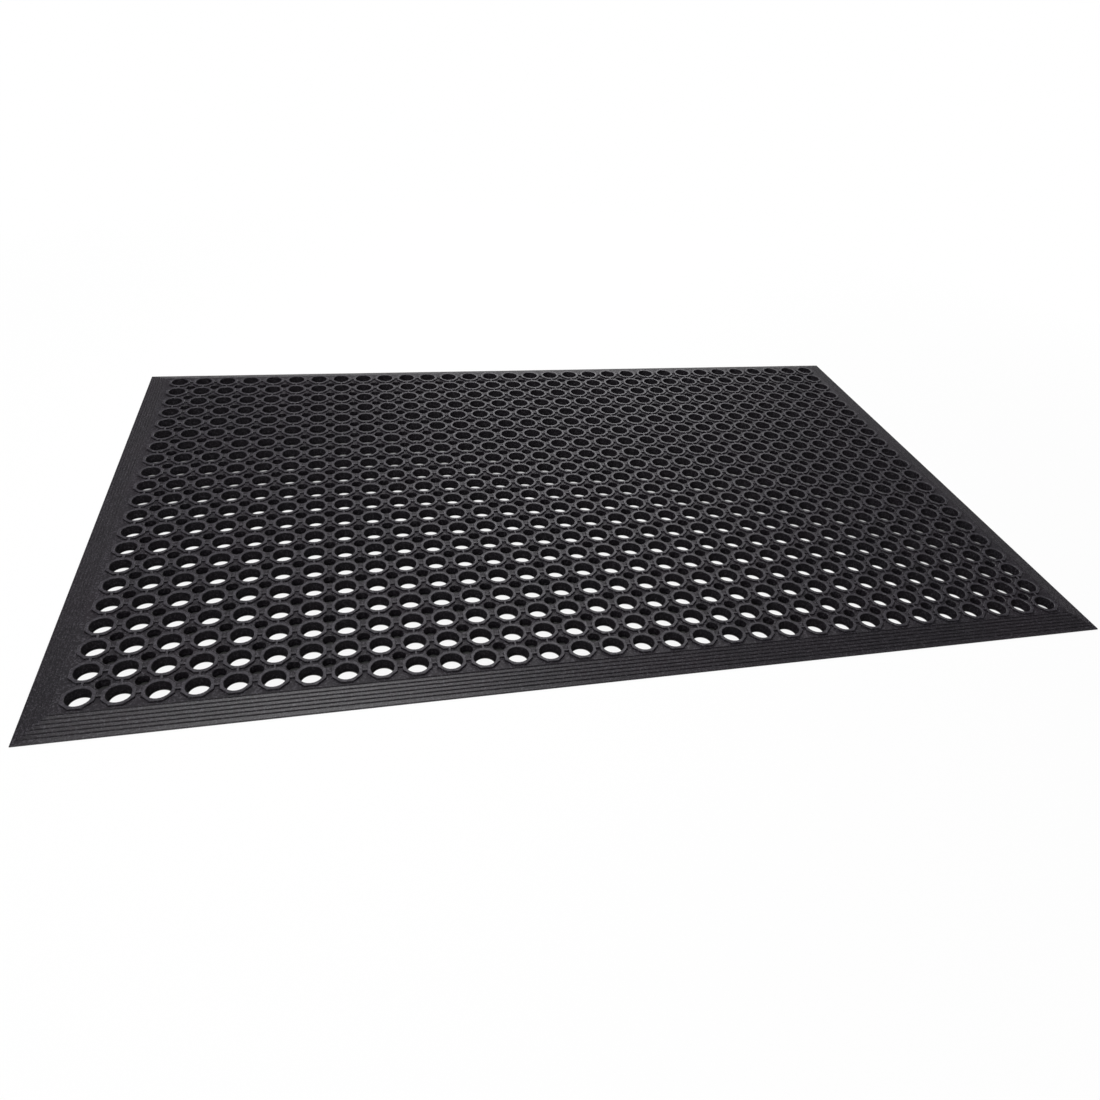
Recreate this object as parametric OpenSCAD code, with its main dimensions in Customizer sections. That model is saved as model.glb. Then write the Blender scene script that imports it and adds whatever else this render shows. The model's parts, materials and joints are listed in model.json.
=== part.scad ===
// Ramped rubber drainage mat for standing work, with a field of collared drain holes.
// Millimetres. X runs along the length, Y to the back, Z up, and the origin is on the floor
// under the middle of the mat.

/* [Overall size] */
// Length of the mat along X, with both ramps
mat_length = 1200; // [500:5:2000]
// Width of the mat along Y, with both ramps
mat_width = 800; // [400:5:1400]
// Height from the floor to the top of the collars
mat_height = 12; // [9:0.5:20]

/* [Drain field] */
// Least distance between neighbouring drain holes, which are spread evenly to fill the field
hole_pitch = 35.5; // [34:0.5:50]
// Diameter of a large drain hole
drain_hole_dia = 24; // [12:0.5:26]
// Diameter of the small hole in the middle of every four drain holes
vent_hole_dia = 14; // [4:0.5:14.5]
// Width of the eight-sided collar round a drain hole, across its flats
collar_across = 30.5; // [29:0.5:33]
// Height of a collar above the web
collar_height = 2.2; // [1:0.1:4]
// Width of the bars that link neighbouring collars
link_width = 2.4; // [1:0.1:6]
// Flat land between the outermost collars and the ramp at each end
end_land = 7; // [0.5:0.25:20]
// Flat land between the outermost collars and the front and rear ramps
side_land = 2.25; // [0.5:0.25:20]

/* [Underside] */
// Height of the studs that hold the web off the floor, so that water runs away below it
stud_height = 1.2; // [0.5:0.1:3]
// Diameter of a stud
stud_dia = 8; // [4:0.5:10]

/* [Ramps] */
// Width of the sloping ramp along each side
ramp_width = 27.5; // [20:0.5:60]
// Height of the outer lip of a ramp
lip_height = 1.5; // [1.2:0.1:4]
// Width of the plain strip outside the outermost groove
lip_strip = 5; // [2:0.5:10]
// Distance between neighbouring grooves
groove_pitch = 4.3; // [3:0.1:10]
// Width of a groove at its mouth
groove_width = 1.4; // [0.6:0.1:2.5]
// Depth of a groove
groove_depth = 1; // [0.3:0.1:1.1]

/* [Rolling up] */
// Number of bands that turn on each other when the mat is rolled up
band_count = 8; // [2:1:10]
// Width of the slit along each flex line, between neighbouring bands
flex_slit = 0.3; // [0.1:0.05:1]

/* [Hidden] */
$fn = 48;
rubber = "#3a383c";

web_top = mat_height - collar_height;
field_length = mat_length - 2 * ramp_width;
field_width = mat_width - 2 * ramp_width;

// The outermost columns and rows are this far apart, and the others stand evenly between them
columns_span = field_length - 2 * end_land - collar_across;
rows_span = field_width - 2 * side_land - collar_across;
columns = floor(columns_span / hole_pitch + 0.001) + 1;
rows = floor(rows_span / hole_pitch + 0.001) + 1;
step_x = columns_span / (columns - 1);
step_y = rows_span / (rows - 1);
grooves = floor((ramp_width - lip_strip - groove_width / 2) / groove_pitch) + 1;

// Centre of a column along X and of a row along Y, counted from 0 at the left and at the front
function column_x(c) = (c - (columns - 1) / 2) * step_x;
function row_y(r) = (r - (rows - 1) / 2) * step_y;

// First and last column of band k, counted from 1 at the left
function first_column(k) = round((k - 1) * columns / band_count);
function last_column(k) = first_column(k + 1) - 1;

// The two ends of band k along X: flex lines midway between columns, or the edge of the field
function band_left(k) =
    k == 1 ? -field_length / 2 : column_x(first_column(k)) - (step_x - flex_slit) / 2;
function band_right(k) =
    k == band_count ? field_length / 2 : column_x(last_column(k)) + (step_x - flex_slit) / 2;

// Height of a ramp's plain slope at a distance in from the mat's edge
function slope_z(u) = lip_height + (web_top - lip_height) * u / ramp_width;

// Places its children at every drain hole of band k
module at_drain_holes(k) {
    for (c = [first_column(k) : last_column(k)], r = [0 : rows - 1])
        translate([column_x(c), row_y(r)]) children();
}

// Places its children at every small hole that band k has a whole or a half of
module at_vent_holes(k) {
    for (c = [max(first_column(k) - 1, 0) : min(last_column(k), columns - 2)], r = [0 : rows - 2])
        translate([column_x(c) + step_x / 2, row_y(r) + step_y / 2]) children();
}

// Places its children under the web, midway between the holes of each column of band k
module at_studs(k) {
    for (c = [first_column(k) : last_column(k)], r = [0 : rows - 2])
        translate([column_x(c), row_y(r) + step_y / 2]) children();
}

// Flat web of one band, pierced by both kinds of hole, on its studs
module drain_panel(k) {
    color(rubber) {
        translate([0, 0, stud_height])
            linear_extrude(web_top - stud_height)
                difference() {
                    translate([band_left(k), -field_width / 2])
                        square([band_right(k) - band_left(k), field_width]);
                    at_drain_holes(k) circle(d = drain_hole_dia);
                    at_vent_holes(k) circle(d = vent_hole_dia);
                }
        at_studs(k) cylinder(d = stud_dia, h = stud_height);
    }
}

// Raised eight-sided collars of one band and the bars that link them, in one grid
module ring_collars(k) {
    grid_left = k == 1 ? column_x(0) : band_left(k);
    grid_right = k == band_count ? column_x(columns - 1) : band_right(k);
    color(rubber)
        translate([0, 0, web_top])
            linear_extrude(collar_height)
                difference() {
                    union() {
                        at_drain_holes(k)
                            rotate(180 / 8) circle(d = collar_across / cos(180 / 8), $fn = 8);
                        for (r = [0 : rows - 1])
                            translate([grid_left, row_y(r) - link_width / 2])
                                square([grid_right - grid_left, link_width]);
                        for (c = [first_column(k) : last_column(k)])
                            translate([column_x(c) - link_width / 2, row_y(0)])
                                square([link_width, row_y(rows - 1) - row_y(0)]);
                    }
                    at_drain_holes(k) circle(d = drain_hole_dia);
                }
}

// Section through a ramp: the outer lip, the grooved slope and the flat underside
module ramp_section() {
    groove_floor = groove_width / 2;
    slope = [
        for (g = [0 : grooves - 1])
            let (u = lip_strip + g * groove_pitch)
                for (side = [-1, 1])
                    let (
                        mouth = [u + side * groove_width / 2, slope_z(u + side * groove_width / 2)],
                        foot = [u + side * groove_floor / 2, slope_z(u) - groove_depth]
                    )
                        each side < 0 ? [mouth, foot] : [foot, mouth]
    ];
    polygon(concat([[0, 0], [0, lip_height]], slope, [[ramp_width, web_top], [ramp_width, 0]]));
}

// Part of the front ramp that belongs to band k, mitred where it meets a side ramp
module front_ramp(k) {
    outer_left = k == 1 ? -mat_length / 2 : band_left(k);
    outer_right = k == band_count ? mat_length / 2 : band_right(k);
    front = -mat_width / 2;
    color(rubber)
        intersection() {
            translate([outer_left, front, 0])
                rotate([90, 0, 90]) linear_extrude(outer_right - outer_left) ramp_section();
            linear_extrude(mat_height)
                polygon([
                    [outer_left, front],
                    [outer_right, front],
                    [band_right(k), front + ramp_width],
                    [band_left(k), front + ramp_width]
                ]);
        }
}

// Part of the rear ramp that belongs to band k
module rear_ramp(k) {
    mirror([0, 1, 0]) front_ramp(k);
}

// Ramp along the whole left end, mitred at both corners
module left_ramp() {
    left = -mat_length / 2;
    color(rubber)
        intersection() {
            translate([left, 0, 0])
                rotate([90, 0, 0]) linear_extrude(mat_width, center = true) ramp_section();
            linear_extrude(mat_height)
                polygon([
                    [left, -mat_width / 2],
                    [left + ramp_width, -field_width / 2],
                    [left + ramp_width, field_width / 2],
                    [left, mat_width / 2]
                ]);
        }
}

// Ramp along the whole right end
module right_ramp() {
    mirror([1, 0, 0]) left_ramp();
}

for (k = [1 : band_count]) {
    drain_panel(k);
    ring_collars(k);
    front_ramp(k);
    rear_ramp(k);
}
left_ramp();
right_ramp();
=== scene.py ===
import json
import math

import bmesh
import bpy
from mathutils import Matrix, Vector

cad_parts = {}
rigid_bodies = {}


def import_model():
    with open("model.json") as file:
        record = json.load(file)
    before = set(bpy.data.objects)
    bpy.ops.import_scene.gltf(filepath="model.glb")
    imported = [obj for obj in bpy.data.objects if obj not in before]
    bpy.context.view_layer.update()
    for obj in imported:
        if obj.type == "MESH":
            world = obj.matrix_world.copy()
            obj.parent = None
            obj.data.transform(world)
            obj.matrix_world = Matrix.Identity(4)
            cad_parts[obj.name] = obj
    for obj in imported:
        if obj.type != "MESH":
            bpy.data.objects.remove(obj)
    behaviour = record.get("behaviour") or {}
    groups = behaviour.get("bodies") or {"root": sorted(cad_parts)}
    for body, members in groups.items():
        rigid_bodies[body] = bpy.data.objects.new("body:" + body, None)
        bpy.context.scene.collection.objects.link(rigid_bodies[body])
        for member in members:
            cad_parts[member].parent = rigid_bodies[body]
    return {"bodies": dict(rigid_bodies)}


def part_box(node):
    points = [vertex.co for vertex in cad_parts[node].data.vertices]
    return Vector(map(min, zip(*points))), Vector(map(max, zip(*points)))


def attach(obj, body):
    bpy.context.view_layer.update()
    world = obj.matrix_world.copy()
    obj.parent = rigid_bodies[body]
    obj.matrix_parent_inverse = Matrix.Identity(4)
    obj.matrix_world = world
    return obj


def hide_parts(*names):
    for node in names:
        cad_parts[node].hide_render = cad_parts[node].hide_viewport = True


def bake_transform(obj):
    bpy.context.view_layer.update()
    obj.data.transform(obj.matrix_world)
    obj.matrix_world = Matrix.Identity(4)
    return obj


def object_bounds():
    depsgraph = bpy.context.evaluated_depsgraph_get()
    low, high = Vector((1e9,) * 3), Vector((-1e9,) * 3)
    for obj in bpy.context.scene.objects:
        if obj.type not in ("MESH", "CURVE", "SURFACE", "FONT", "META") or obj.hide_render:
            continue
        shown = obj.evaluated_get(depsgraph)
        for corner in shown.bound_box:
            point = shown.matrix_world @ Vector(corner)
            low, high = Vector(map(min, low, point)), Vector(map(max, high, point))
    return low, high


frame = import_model()
cad_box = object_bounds()

# Drain field: a flat web with a collared drain hole every 35.5 mm each way and a small hole in
# the middle of every four. It is compression moulded in black rubber, so the eight-sided collars,
# the bars that link them and the studs underneath all grow out of the web with no seam.
MM = 0.001
pitch = 35.5 * MM
bore_r = 12 * MM
vent_r = 7 * MM
collar_half = 15.25 * MM
link_half = 1.2 * MM
stud_r = 4 * MM
web_bottom = 1.2 * MM
rim_round = 0.5 * MM
weld = 0.01 * MM
bore_steps, vent_steps, stud_steps = 6, 4, 4

mat_low, mat_high = cad_box
collar_top = mat_high.z
web_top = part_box("drain_panel_1")[1].z
ramp_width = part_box("left_ramp")[1].x - mat_low.x
field_x = mat_high.x - ramp_width
field_y = mat_high.y - ramp_width
outer_x = -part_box("ring_collars_1")[0].x - collar_half
outer_y = -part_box("ring_collars_1")[0].y - collar_half
columns = round(2 * outer_x / pitch) + 1
rows = round(2 * outer_y / pitch) + 1
column_x = [c * pitch - outer_x for c in range(columns)]
row_y = [r * pitch - outer_y for r in range(rows)]


def arc(bm, start, centre, turn, steps):
    """The vertices of a level arc, spun from its start about its centre."""
    before = len(bm.verts)
    first = bm.verts.new(start)
    bmesh.ops.spin(bm, geom=[first], cent=centre, axis=(0, 0, 1), angle=turn, steps=steps)
    bm.verts.ensure_lookup_table()
    return bm.verts[before:]


def edges_of(bm, line):
    """The edges along a line of vertices."""
    return [bm.edges.get(pair) for pair in zip(line, line[1:])]


def extrude_line(bm, line, move):
    """Extrudes a line of vertices, moves each new one, and returns the new line in the same order."""
    made = bmesh.ops.extrude_edge_only(bm, edges=edges_of(bm, line))["geom"]
    fresh = [g for g in made if isinstance(g, bmesh.types.BMVert)]
    new_line = [min(fresh, key=lambda v: (v.co - old.co).length) for old in line]
    for v in new_line:
        v.co = move(v.co)
    return new_line


def quarter_cell(inner_x, inner_y):
    """A quarter of one hole's cell, with neighbours along X and Y or with the edge of the field there."""
    bm = bmesh.new()
    reach_x = pitch / 2 if inner_x else field_x - outer_x
    reach_y = pitch / 2 if inner_y else field_y - outer_y
    corner = collar_half * math.tan(math.pi / 8)

    # the collar's top with half of each link bar, and its side down to the web
    rim = arc(bm, (bore_r, 0, collar_top), (0, 0, collar_top), math.pi / 2, bore_steps)
    outline = [(collar_half, corner), (corner, collar_half)]
    if inner_x:
        outline = [(reach_x, 0), (reach_x, link_half), (collar_half, link_half)] + outline
    else:
        outline = [(collar_half, 0)] + outline
    if inner_y:
        outline += [(link_half, collar_half), (link_half, reach_y), (0, reach_y)]
    else:
        outline += [(0, collar_half)]
    brow = [bm.verts.new((x, y, collar_top)) for x, y in outline]
    bm.faces.new(brow + rim[::-1])
    brow = brow[1 if inner_x else 0:len(brow) - 1 if inner_y else len(brow)]
    foot = extrude_line(bm, brow, lambda co: Vector((co.x, co.y, web_top)))

    # the web round the collar, up to the small hole or the edge of the field
    mouth = []
    if inner_x and inner_y:
        vent = (reach_x, reach_y, web_top)
        mouth = arc(bm, (reach_x - vent_r, reach_y, web_top), vent, math.pi / 2, vent_steps)[::-1]
    border = [] if inner_x else [bm.verts.new((reach_x, 0, web_top))]
    border += mouth or [bm.verts.new((reach_x, reach_y, web_top))]
    border += [] if inner_y else [bm.verts.new((0, reach_y, web_top))]
    bm.faces.new(border + foot[::-1])

    # the walls of both holes, the underside and a quarter of the stud below the link bar
    bore_foot = extrude_line(bm, rim, lambda co: Vector((co.x, co.y, web_bottom)))
    below = [bm.verts.new((reach_x, 0, web_bottom))]
    if mouth:
        below += extrude_line(bm, mouth, lambda co: Vector((co.x, co.y, web_bottom)))
    else:
        below.append(bm.verts.new((reach_x, reach_y, web_bottom)))
    if inner_y:
        middle = (0, reach_y, web_bottom)
        stud = arc(bm, (stud_r, reach_y, web_bottom), middle, -math.pi / 2, stud_steps)
        stud_foot = extrude_line(bm, stud, lambda co: Vector((co.x, co.y, 0)))
        bm.faces.new(stud_foot + [bm.verts.new((0, reach_y, 0))])
        below += stud
    else:
        below.append(bm.verts.new((0, reach_y, web_bottom)))
    bm.faces.new((below + bore_foot[::-1])[::-1])

    soft_edges = edges_of(bm, rim) + edges_of(bm, brow) + edges_of(bm, mouth)
    bmesh.ops.bevel(bm, geom=soft_edges, offset=rim_round, offset_type="OFFSET", segments=1,
                    profile=0.5, affect="EDGES", clamp_overlap=True, material=-1)
    mesh = bpy.data.meshes.new("quarter_cell")
    bm.to_mesh(mesh)
    bm.free()
    return mesh


def add_copy(bm, mesh, matrix):
    """Adds a placed copy of a mesh."""
    before = len(bm.verts)
    bm.from_mesh(mesh)
    bm.verts.ensure_lookup_table()
    bmesh.ops.transform(bm, matrix=matrix, verts=bm.verts[before:])


def hole_column(outer_side):
    """A whole column of cells; outer_side is -1 or 1 where the field ends on that side, else 0."""
    bm = bmesh.new()
    for r, y in enumerate(row_y):
        for side_x in (-1, 1):
            for side_y in (-1, 1):
                outer_row = r == (0 if side_y < 0 else rows - 1)
                cell = quarters[side_x != outer_side, not outer_row]
                place = Matrix.Translation((0, y, 0)) @ Matrix.Diagonal((side_x, side_y, 1, 1))
                add_copy(bm, cell, place)
    bmesh.ops.remove_doubles(bm, verts=bm.verts, dist=weld)
    mesh = bpy.data.meshes.new("hole_column")
    bm.to_mesh(mesh)
    bm.free()
    return mesh


quarters = {(x, y): quarter_cell(x, y) for x in (True, False) for y in (True, False)}
column_meshes = {side: hole_column(side) for side in (-1, 0, 1)}

# Ramps: the sloping border on all four sides, moulded in one with the web, with grooves along it
# for grip and a thin lip on the floor. The long and the short ramps meet in mitred corners.
lip_height = 1.5 * MM
lip_round = 0.5 * MM
lip_strip = 5 * MM
groove_pitch = 4.3 * MM
groove_width = 1.4 * MM
groove_depth = 1.0 * MM
shoulder = 0.3 * MM
grooves = math.floor((ramp_width - lip_strip - groove_width / 2) / groove_pitch) + 1


def slope_z(u):
    """Height of the plain slope at a distance in from the mat's edge."""
    return lip_height + (web_top - lip_height) * u / ramp_width


ramp_section = [(ramp_width, web_top)]
for g in reversed(range(grooves)):
    u = lip_strip + g * groove_pitch
    half = groove_width / 2
    ramp_section += [
        (u + half + shoulder, slope_z(u + half + shoulder)),
        (u + half, slope_z(u + half) - shoulder),
        (u + half / 2, slope_z(u) - groove_depth),
        (u - half / 2, slope_z(u) - groove_depth),
        (u - half, slope_z(u - half) - shoulder),
        (u - half - shoulder, slope_z(u - half - shoulder)),
    ]
ramp_section += [(lip_round, slope_z(lip_round)), (0, lip_height - lip_round), (0, 0),
                 (ramp_width, 0), (ramp_width, web_bottom)]


def open_line(bm, points):
    """Adds a line of vertices through points, with the edges between them."""
    line = [bm.verts.new(point) for point in points]
    for pair in zip(line, line[1:]):
        bm.edges.new(pair)
    return line


def long_ramp(bm, side, stations, ends):
    """Adds the front or rear ramp through stations along X, mitred past the stations at the ends."""
    first = open_line(bm, [(stations[0], side * (mat_high.y - u), z) for u, z in ramp_section])
    line = first
    for x in stations[1:]:
        line = extrude_line(bm, line, lambda co: Vector((x, co.y, co.z)))
    for end, edge_line in ((-1, first), (1, line)):
        if end in ends:
            extrude_line(bm, edge_line,
                         lambda co: Vector((end * (mat_high.x - mat_high.y + abs(co.y)), co.y, co.z)))


def end_ramp(bm, end, stations):
    """Adds the left or right ramp through stations along Y, mitred at both corners."""
    first = open_line(bm, [(end * (mat_high.x - u), stations[0], z) for u, z in ramp_section])
    line = first
    for y in stations[1:]:
        line = extrude_line(bm, line, lambda co: Vector((co.x, y, co.z)))
    for side, edge_line in ((-1, first), (1, line)):
        extrude_line(bm, edge_line,
                     lambda co: Vector((co.x, side * (mat_high.y - mat_high.x + abs(co.x)), co.z)))


# Moulded rubber: black rubber pressed in a spark-eroded steel mould, matt with a fine pebbled
# skin. It is greyer on the tops of the collars, partly where feet wear them and partly as a painted sheen,
# and holds a little dust.
def linear(hex_colour):
    """An sRGB hex colour as linear RGBA."""
    parts = [int(hex_colour[i:i + 2], 16) / 255 for i in (1, 3, 5)]
    return tuple(c / 12.92 if c <= 0.04045 else ((c + 0.055) / 1.055) ** 2.4 for c in parts) + (1,)


def add_node(tree, kind, settings=None, inputs=None):
    """Adds a node with its settings, and each input set or linked from another node's output."""
    made = tree.nodes.new(kind)
    for name, value in (settings or {}).items():
        setattr(made, name, value)
    for name, value in (inputs or {}).items():
        if isinstance(value, bpy.types.NodeSocket):
            tree.links.new(value, made.inputs[name])
        else:
            made.inputs[name].default_value = value
    return made


patch_size = 90 * MM
scuff_size = 6 * MM
speck_size = 1.8 * MM
pebble_size = 0.7 * MM
pebble_depth = 0.08 * MM
wear_and_sheen_from, wear_and_sheen_to = collar_top - 0.9 * MM, collar_top - 0.1 * MM
moulded_rough, polished_rough = 0.62, 0.46
moulded_gloss, polished_gloss = 0.27, 0.45
rubber_ior = 1.5

rubber = bpy.data.materials.new("moulded_rubber")
rubber.use_nodes = True
tree = rubber.node_tree
tree.nodes.clear()
place = add_node(tree, "ShaderNodeAttribute", {"attribute_name": "moulded_place"}).outputs["Vector"]
height = add_node(tree, "ShaderNodeSeparateXYZ", {}, {"Vector": place}).outputs["Z"]

# the black itself drifts a little, in patches the size of a hand
patch = add_node(tree, "ShaderNodeTexNoise", {}, {"Vector": place, "Scale": 1 / patch_size, "Detail": 3.0})
patch = add_node(tree, "ShaderNodeMapRange", {},
                 {"Value": patch.outputs["Fac"], "From Min": 0.35, "From Max": 0.65})
black = add_node(tree, "ShaderNodeMix", {"data_type": "RGBA"},
                 {"Factor": patch.outputs["Result"], "A": linear("#141117"), "B": linear("#19131a")})

# the tops of the collars and bars are scuffed grey by shoes, unevenly, and the same grey is also a painted
# sheen on the tops
on_top = add_node(tree, "ShaderNodeMapRange", {"interpolation_type": "SMOOTHSTEP"},
                  {"Value": height, "From Min": wear_and_sheen_from, "From Max": wear_and_sheen_to})
scuff = add_node(tree, "ShaderNodeTexNoise", {}, {"Vector": place, "Scale": 1 / scuff_size, "Detail": 4.0})
scuff = add_node(tree, "ShaderNodeMapRange", {},
                 {"Value": scuff.outputs["Fac"], "From Min": 0.3, "From Max": 0.7,
                  "To Min": 0.2, "To Max": 0.75})
wear_and_sheen = add_node(tree, "ShaderNodeMath", {"operation": "MULTIPLY"},
                {0: on_top.outputs["Result"], 1: scuff.outputs["Result"]})
# painted sheen: part of this lighter grey on the tops stands for light caught there, beside the real scuffs
scuffed_grey_and_painted_sheen = add_node(tree, "ShaderNodeMix", {"data_type": "RGBA"},
                  {"Factor": wear_and_sheen.outputs["Value"], "A": black.outputs["Result"], "B": linear("#37343b")})

# light specks are dust in the moulded skin, drawn coarser than they are so that they show
speck = add_node(tree, "ShaderNodeTexNoise", {}, {"Vector": place, "Scale": 1 / speck_size, "Detail": 2.0})
speck = add_node(tree, "ShaderNodeMapRange", {},
                 {"Value": speck.outputs["Fac"], "From Min": 0.5, "From Max": 0.72, "To Max": 0.85})
dusty = add_node(tree, "ShaderNodeMix", {"data_type": "RGBA"},
                 {"Factor": speck.outputs["Result"], "A": scuffed_grey_and_painted_sheen.outputs["Result"], "B": linear("#4b484e")})

# the pebbled skin of the mould, smoother in the holes, on worn tops and on the ramps that feet cross
pebble = add_node(tree, "ShaderNodeTexVoronoi", {}, {"Vector": place, "Scale": 1 / pebble_size})
bump = add_node(tree, "ShaderNodeBump", {},
                {"Height": pebble.outputs["Distance"], "Strength": 0.5, "Distance": pebble_depth})
polished = add_node(tree, "ShaderNodeAttribute", {"attribute_name": "polished"}).outputs["Fac"]
smooth = add_node(tree, "ShaderNodeMath", {"operation": "MAXIMUM"}, {0: wear_and_sheen.outputs["Value"], 1: polished})
dull = add_node(tree, "ShaderNodeMapRange", {},
                {"Value": smooth.outputs["Value"], "To Min": moulded_rough, "To Max": polished_rough})
gloss = add_node(tree, "ShaderNodeMapRange", {},
                 {"Value": smooth.outputs["Value"], "To Min": moulded_gloss, "To Max": polished_gloss})
skin = add_node(tree, "ShaderNodeBsdfPrincipled", {},
                {"Base Color": dusty.outputs["Result"], "Roughness": dull.outputs["Result"],
                 "IOR": rubber_ior, "Specular IOR Level": gloss.outputs["Result"],
                 "Normal": bump.outputs["Normal"]})
add_node(tree, "ShaderNodeOutputMaterial", {}, {"Surface": skin.outputs["BSDF"]})

# Spans: the moulding in lengths that run from the middle of one band to the middle of the next,
# each over the flex line that it holds, with a plain length at each end of the mat.
sharp_angle = math.radians(25)
sliver = 0.001 * MM
wall_normal_z = 0.9
banded = ("drain_panel", "ring_collars", "front_ramp", "rear_ramp")
bands = len(frame["bodies"])
breaks = [0] + [round((k + 0.5) * columns / bands) for k in range(bands)] + [columns]
side_stations = [y + half * pitch / 2 for y in row_y for half in (0, 1)][:-1]

for i in range(bands + 1):
    span_columns = range(breaks[i], breaks[i + 1])
    ends = [end for end, there in ((-1, i == 0), (1, i == bands)) if there]
    bm = bmesh.new()
    for c in span_columns:
        outer_side = -1 if c == 0 else 1 if c == columns - 1 else 0
        add_copy(bm, column_meshes[outer_side], Matrix.Translation((column_x[c], 0, 0)))
    stations = [column_x[c] + half * pitch / 2 for c in span_columns for half in (-1, 0)]
    stations.append(column_x[span_columns[-1]] + pitch / 2)
    if -1 in ends:
        stations[0] = -field_x
    if 1 in ends:
        stations[-1] = field_x
    for side in (-1, 1):
        long_ramp(bm, side, stations, ends)
    for end in ends:
        end_ramp(bm, end, [-field_y] + side_stations + [field_y])
    bmesh.ops.remove_doubles(bm, verts=bm.verts, dist=weld)
    bmesh.ops.dissolve_degenerate(bm, edges=bm.edges, dist=sliver)
    bmesh.ops.holes_fill(bm, edges=[e for e in bm.edges if e.is_boundary], sides=0)
    bmesh.ops.recalc_face_normals(bm, faces=bm.faces)
    mesh = bpy.data.meshes.new("mat_span_%d" % i)
    bm.to_mesh(mesh)
    bm.free()
    mesh.shade_smooth()
    mesh.set_sharp_from_angle(angle=sharp_angle)

    # the rubber's patterns stay where they were moulded when a span bends
    rest = mesh.attributes.new("moulded_place", "FLOAT_VECTOR", "POINT")
    rest.data.foreach_set("vector", [c for v in mesh.vertices for c in v.co])

    # smoother skin: the walls and edges in the field, and the long ramps, which feet cross
    sleek = []
    for f in mesh.polygons:
        past_end, past_side = abs(f.center.x) - field_x, abs(f.center.y) - field_y
        in_field = max(past_end, past_side) <= 0
        sleek.append(abs(f.normal.z) < wall_normal_z if in_field else past_side > past_end)
    mesh.attributes.new("polished", "FLOAT", "FACE").data.foreach_set("value", sleek)
    mesh.materials.append(rubber)

    span = bpy.data.objects.new("mat_span_%d" % i, mesh)
    bpy.context.scene.collection.objects.link(span)
    if ends:
        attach(span, "band_1" if i == 0 else "band_%d" % bands)
    else:
        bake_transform(span)
    stood_for = ["left_ramp"] if i == 0 else ["right_ramp"] if i == bands else []
    if i > 0:
        stood_for += ["%s_%d" % (kind, i) for kind in banded]
    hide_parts(*stood_for)

# Floor: a plain white studio floor. The camera sees it white, down in the drain holes too where
# the look down is steep enough, with a painted shade at the foot of their walls and wherever the look
# is too shallow. Round the mat it keeps some of its own light and so the shadow.
floor_size = 60.0
shadow_from, shadow_to = 0.7, 1.6
shadow_share = 0.08
hole_reach = 17 * MM
daylight_samples = 8
painted_shade_ao_from, painted_shade_ao_to = 0.6, 0.85
lit_r = 11 * MM
lit_edge = 0.4 * MM
steep_from, steep_to = 0.465, 0.53
bm = bmesh.new()
bmesh.ops.create_grid(bm, x_segments=1, y_segments=1, size=floor_size / 2)
floor_mesh = bpy.data.meshes.new("studio_floor")
bm.to_mesh(floor_mesh)
bm.free()
floor = bpy.data.objects.new("studio_floor", floor_mesh)
bpy.context.scene.collection.objects.link(floor)

paper = bpy.data.materials.new("white_paper")
paper.use_nodes = True
tree = paper.node_tree
tree.nodes.clear()
ray = add_node(tree, "ShaderNodeLightPath")
spot = add_node(tree, "ShaderNodeTexCoord").outputs["Object"]

# more daylight reaches the floor outside the mat than under it or down in a hole, and from this a painted
# shade is laid on the floor
daylight = add_node(tree, "ShaderNodeAmbientOcclusion", {"samples": daylight_samples},
                    {"Distance": hole_reach}).outputs["AO"]
free_of_painted_shade = add_node(tree, "ShaderNodeMapRange", {},
                   {"Value": daylight, "From Min": painted_shade_ao_from, "From Max": painted_shade_ao_to})

# the floor's own light, which holds the shadow, fades away from the mat
away = add_node(tree, "ShaderNodeVectorMath", {"operation": "LENGTH"}, {0: spot}).outputs["Value"]
bare = add_node(tree, "ShaderNodeMapRange", {},
                {"Value": away, "From Min": shadow_from, "From Max": shadow_to, "To Min": 1 - shadow_share})

# a drain hole shows a white spot of floor to a steep look; round the spot, at the foot of its wall, and to
# a shallower look the floor is painted shade
cell = add_node(tree, "ShaderNodeVectorMath", {"operation": "SUBTRACT"},
                {0: spot, 1: (column_x[0], row_y[0], 0)}).outputs["Vector"]
cell = add_node(tree, "ShaderNodeVectorMath", {"operation": "WRAP"},
                {0: cell, 1: [pitch / 2] * 3, 2: [-pitch / 2] * 3}).outputs["Vector"]
off_centre = add_node(tree, "ShaderNodeVectorMath", {"operation": "LENGTH"}, {0: cell}).outputs["Value"]
spot_clear_of_painted_shade = add_node(tree, "ShaderNodeMapRange", {},
                   {"Value": off_centre, "From Min": lit_r, "From Max": lit_r + lit_edge,
                    "To Min": 1.0, "To Max": 0.0})
look = add_node(tree, "ShaderNodeNewGeometry").outputs["Incoming"]
look = add_node(tree, "ShaderNodeSeparateXYZ", {}, {"Vector": look}).outputs["Z"]
steep_clear_of_painted_shade = add_node(tree, "ShaderNodeMapRange", {},
                 {"Value": look, "From Min": steep_from, "From Max": steep_to})
camera_white_past_painted_shade = add_node(tree, "ShaderNodeMath", {"operation": "MULTIPLY"},
                {0: spot_clear_of_painted_shade.outputs["Result"], 1: steep_clear_of_painted_shade.outputs["Result"]})

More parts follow.
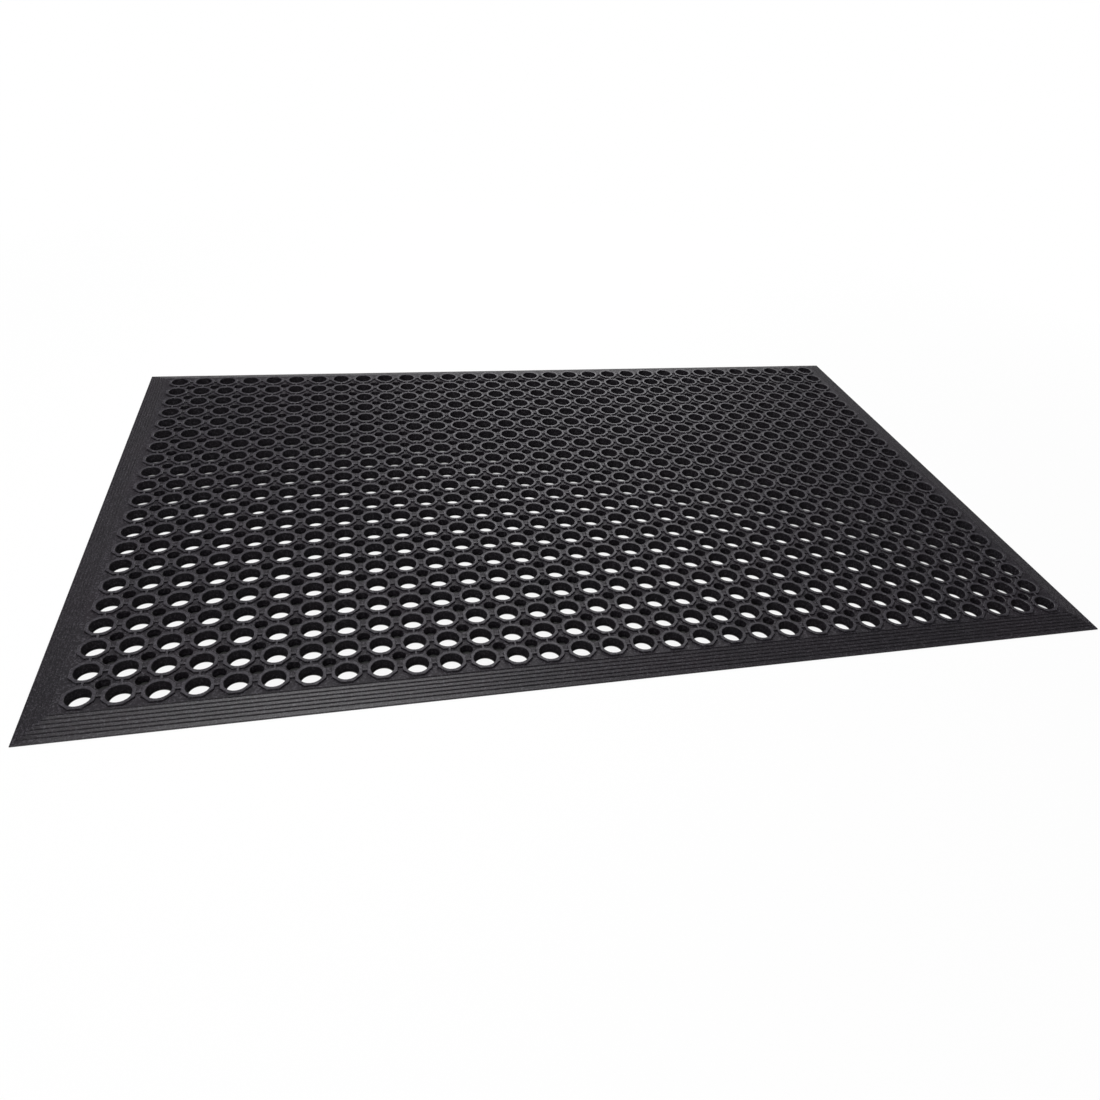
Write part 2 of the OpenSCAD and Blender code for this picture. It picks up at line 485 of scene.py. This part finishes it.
# beyond the field of holes the camera sees the floor white up to the edge of the mat
beyond = add_node(tree, "ShaderNodeVectorMath", {"operation": "ABSOLUTE"}, {0: spot}).outputs["Vector"]
beyond = add_node(tree, "ShaderNodeVectorMath", {"operation": "SUBTRACT"},
                  {0: beyond, 1: (field_x, field_y, 0)}).outputs["Vector"]
beyond = add_node(tree, "ShaderNodeSeparateXYZ", {}, {"Vector": beyond})
beyond = add_node(tree, "ShaderNodeMath", {"operation": "MAXIMUM"},
                  {0: beyond.outputs["X"], 1: beyond.outputs["Y"]})
beyond = add_node(tree, "ShaderNodeMath", {"operation": "GREATER_THAN"},
                  {0: beyond.outputs["Value"], 1: 0.0})
clear = add_node(tree, "ShaderNodeMath", {"operation": "MAXIMUM"},
                 {0: beyond.outputs["Value"], 1: free_of_painted_shade.outputs["Result"]})
camera_white_past_painted_shade = add_node(tree, "ShaderNodeMath", {"operation": "MAXIMUM"},
                {0: camera_white_past_painted_shade.outputs["Value"], 1: clear.outputs["Value"]})
camera_white_past_painted_shade = add_node(tree, "ShaderNodeMath", {"operation": "MULTIPLY"},
                {0: camera_white_past_painted_shade.outputs["Value"], 1: bare.outputs["Result"]})
camera_white_past_painted_shade = add_node(tree, "ShaderNodeMath", {"operation": "MULTIPLY"},
                {0: ray.outputs["Is Camera Ray"], 1: camera_white_past_painted_shade.outputs["Value"]})

# the rubber mirrors the white floor outside the mat, and the floor's painted shade in the holes
mirrored = add_node(tree, "ShaderNodeMath", {"operation": "MAXIMUM"},
                    {0: ray.outputs["Is Glossy Ray"], 1: ray.outputs["Is Transmission Ray"]})
mirrored = add_node(tree, "ShaderNodeMath", {"operation": "MULTIPLY"},
                    {0: mirrored.outputs["Value"], 1: free_of_painted_shade.outputs["Result"]})
share = add_node(tree, "ShaderNodeMath", {"operation": "MAXIMUM"},
                 {0: camera_white_past_painted_shade.outputs["Value"], 1: mirrored.outputs["Value"]})

# all other light meets plain paper, painted darker under the mat and down in the holes as shade
paper_with_painted_shade = add_node(tree, "ShaderNodeMix", {"data_type": "RGBA"},
                {"Factor": free_of_painted_shade.outputs["Result"], "A": linear("#424242"), "B": linear("#f0f0f0")})
lit = add_node(tree, "ShaderNodeBsdfDiffuse", {}, {"Color": paper_with_painted_shade.outputs["Result"]})
white = add_node(tree, "ShaderNodeEmission", {}, {"Color": (1, 1, 1, 1), "Strength": 1.0})
mixed = add_node(tree, "ShaderNodeMixShader", {},
                 {"Fac": share.outputs["Value"], 1: lit.outputs["BSDF"], 2: white.outputs["Emission"]})
add_node(tree, "ShaderNodeOutputMaterial", {}, {"Surface": mixed.outputs["Shader"]})
floor_mesh.materials.append(paper)

# Studio light: a dim sky that is brighter overhead, a soft lamp behind the mat that gives the tops
# their sheen, a long soft lamp above it that lights the front ramp, and a weak lamp in front that
# reaches down the walls of the holes.
low_sky, high_sky = 0.06, 0.24
sky_rise = 0.7
world = bpy.data.worlds.new("studio")
world.use_nodes = True
tree = world.node_tree
tree.nodes.clear()
ray = add_node(tree, "ShaderNodeLightPath")
way = add_node(tree, "ShaderNodeTexCoord").outputs["Generated"]
rise = add_node(tree, "ShaderNodeSeparateXYZ", {}, {"Vector": way}).outputs["Z"]
glow = add_node(tree, "ShaderNodeMapRange", {},
                {"Value": rise, "From Max": sky_rise, "To Min": low_sky, "To Max": high_sky})
level = add_node(tree, "ShaderNodeMix", {"data_type": "FLOAT"},
                 {"Factor": ray.outputs["Is Camera Ray"], "A": glow.outputs["Result"], "B": 1.0})
sky = add_node(tree, "ShaderNodeBackground", {},
               {"Color": (1, 1, 1, 1), "Strength": level.outputs["Result"]})
add_node(tree, "ShaderNodeOutputWorld", {}, {"Surface": sky.outputs["Background"]})
bpy.context.scene.world = world

# each lamp's place, its width and depth in metres, and its watts
lamps = {
    "back_lamp": (Vector((0.58, 2.1, 1.2)), (1.4, 1.1), 28),
    "top_lamp": (Vector((-0.45, -0.02, 1.8)), (1.7, 0.6), 28),
    "front_lamp": (Vector((-0.9, -2.0, 1.1)), (1.2, 0.8), 9),
}
for name, (stand, (wide, deep), watts) in lamps.items():
    lamp_data = bpy.data.lights.new(name, "AREA")
    lamp_data.shape = "RECTANGLE"
    lamp_data.size, lamp_data.size_y = wide, deep
    lamp_data.energy = watts
    lamp = bpy.data.objects.new(name, lamp_data)
    lamp.location = stand
    lamp.rotation_mode = "QUATERNION"
    lamp.rotation_quaternion = stand.to_track_quat("Z", "Y")
    bpy.context.scene.collection.objects.link(lamp)

# Camera: at the photograph's place, in metres, a little to the left of the mat and rolled a few
# degrees, with the shift that the photograph's framing needs.
camera_place = Vector((-0.260, -1.021, 0.6331))
camera_aim = Vector((-0.010, -0.2178, 0.012))
camera_roll = math.radians(6.17)
camera_data = bpy.data.cameras.new("camera")
camera_data.sensor_width = 36
camera_data.lens = 27.76
camera_data.shift_x = -0.0372
camera_data.shift_y = 0.0186
camera = bpy.data.objects.new("camera", camera_data)
camera.rotation_mode = "QUATERNION"
camera.location = camera_place
camera.rotation_quaternion = ((camera_place - camera_aim).to_track_quat("Z", "Y")
                              @ Matrix.Rotation(camera_roll, 3, "Z").to_quaternion())
bpy.context.scene.collection.objects.link(camera)
bpy.context.scene.camera = camera
bpy.context.scene.view_settings.view_transform = "Standard"
